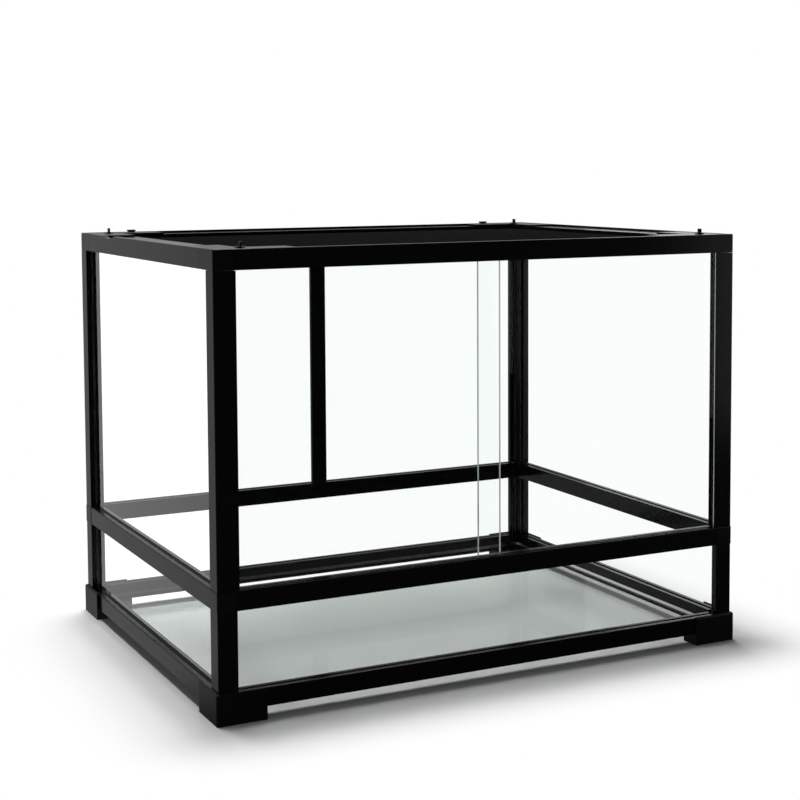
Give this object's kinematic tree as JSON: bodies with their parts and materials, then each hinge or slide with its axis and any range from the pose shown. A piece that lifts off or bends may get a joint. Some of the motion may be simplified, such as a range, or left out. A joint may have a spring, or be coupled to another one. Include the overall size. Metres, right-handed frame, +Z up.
{
  "type": "glass terrarium",
  "caption": "Framed glass terrarium with sliding glass doors in the front, a glazed base band, corner feet and a lift-off screen lid held by turn latches.",
  "frame": {"origin": "floor level, in the middle of the footprint", "axes": "+X along the front from left to right, +Y from the front to the back, +Z up"},
  "size_m": [0.606, 0.456, 0.4555],
  "materials": {
    "profile": "glossy black extrusion",
    "corner": "glossy black moulding",
    "foot": "satin black moulding",
    "latch": "satin black moulding",
    "screen": "black coated screen",
    "pane_glass": "clear float glass",
    "door_glass": "clear float glass with ground edges"
  },
  "bodies": {
    "tank": {"foot_front_left": "foot", "foot_front_right": "foot", "foot_back_right": "foot", "foot_back_left": "foot", "base_rail_front": "profile", "base_rail_right": "profile", "base_rail_back": "profile", "base_rail_left": "profile", "lower_post_front_left": "profile", "lower_post_front_right": "profile", "lower_post_back_right": "profile", "lower_post_back_left": "profile", "mid_corner_front_left": "corner", "mid_corner_front_right": "corner", "mid_corner_back_right": "corner", "mid_corner_back_left": "corner", "mid_rail_front": "profile", "mid_rail_right": "profile", "mid_rail_back": "profile", "mid_rail_left": "profile", "upper_post_front_left": "profile", "upper_post_front_right": "profile", "upper_post_back_right": "profile", "upper_post_back_left": "profile", "back_mullion": "profile", "top_corner_front_left": "corner", "top_corner_front_right": "corner", "top_corner_back_right": "corner", "top_corner_back_left": "corner", "top_rail_front": "profile", "top_rail_right": "profile", "top_rail_back": "profile", "top_rail_left": "profile", "door_jamb_left": "profile", "door_jamb_right": "profile", "side_pane_left": "pane_glass", "side_pane_right": "pane_glass", "back_pane": "pane_glass", "skirt_pane_front": "pane_glass", "skirt_pane_right": "pane_glass", "skirt_pane_back": "pane_glass", "skirt_pane_left": "pane_glass", "bottom_pane": "pane_glass"},
    "left_door": {"door_left": "door_glass"},
    "right_door": {"door_right": "door_glass"},
    "lid": {"lid_bar_front": "profile", "lid_bar_right": "profile", "lid_bar_back": "profile", "lid_bar_left": "profile", "lid_corner_front_left": "corner", "lid_corner_front_right": "corner", "lid_corner_back_right": "corner", "lid_corner_back_left": "corner", "lid_screen": "screen"},
    "front_left_latch": {"latch_front_left": "latch"},
    "front_right_latch": {"latch_front_right": "latch"},
    "back_right_latch": {"latch_back_right": "latch"},
    "back_left_latch": {"latch_back_left": "latch"},
    "left_plug": {"cable_plug_left": "latch"},
    "right_plug": {"cable_plug_right": "latch"}
  },
  "joints": [
    {"name": "left_door_slide", "type": "slide", "parent": "tank", "child": "left_door", "axis": [1, 0, 0], "range_m": [0, 0.26]},
    {"name": "right_door_slide", "type": "slide", "parent": "tank", "child": "right_door", "axis": [-1, 0, 0], "range_m": [0, 0.26]},
    {"name": "lid_lift", "type": "slide", "parent": "tank", "child": "lid", "axis": [0, 0, 1], "range_m": [0, 0.08]},
    {"name": "front_left_latch_turn", "type": "hinge", "parent": "lid", "child": "front_left_latch", "pos_m": [-0.263, -0.199, 0.4497], "axis": [0, 0, -1], "range_deg": [0, 90]},
    {"name": "front_right_latch_turn", "type": "hinge", "parent": "lid", "child": "front_right_latch", "pos_m": [0.274, -0.199, 0.4497], "axis": [0, 0, 1], "range_deg": [0, 90]},
    {"name": "back_right_latch_turn", "type": "hinge", "parent": "lid", "child": "back_right_latch", "pos_m": [0.274, 0.199, 0.4497], "axis": [0, 0, -1], "range_deg": [0, 90]},
    {"name": "back_left_latch_turn", "type": "hinge", "parent": "lid", "child": "back_left_latch", "pos_m": [-0.274, 0.199, 0.4497], "axis": [0, 0, 1], "range_deg": [0, 90]},
    {"name": "left_plug_lift", "type": "slide", "parent": "tank", "child": "left_plug", "axis": [0, 0, 1], "range_m": [0, 0.015]},
    {"name": "right_plug_lift", "type": "slide", "parent": "tank", "child": "right_plug", "axis": [0, 0, 1], "range_m": [0, 0.015]}
  ]
}
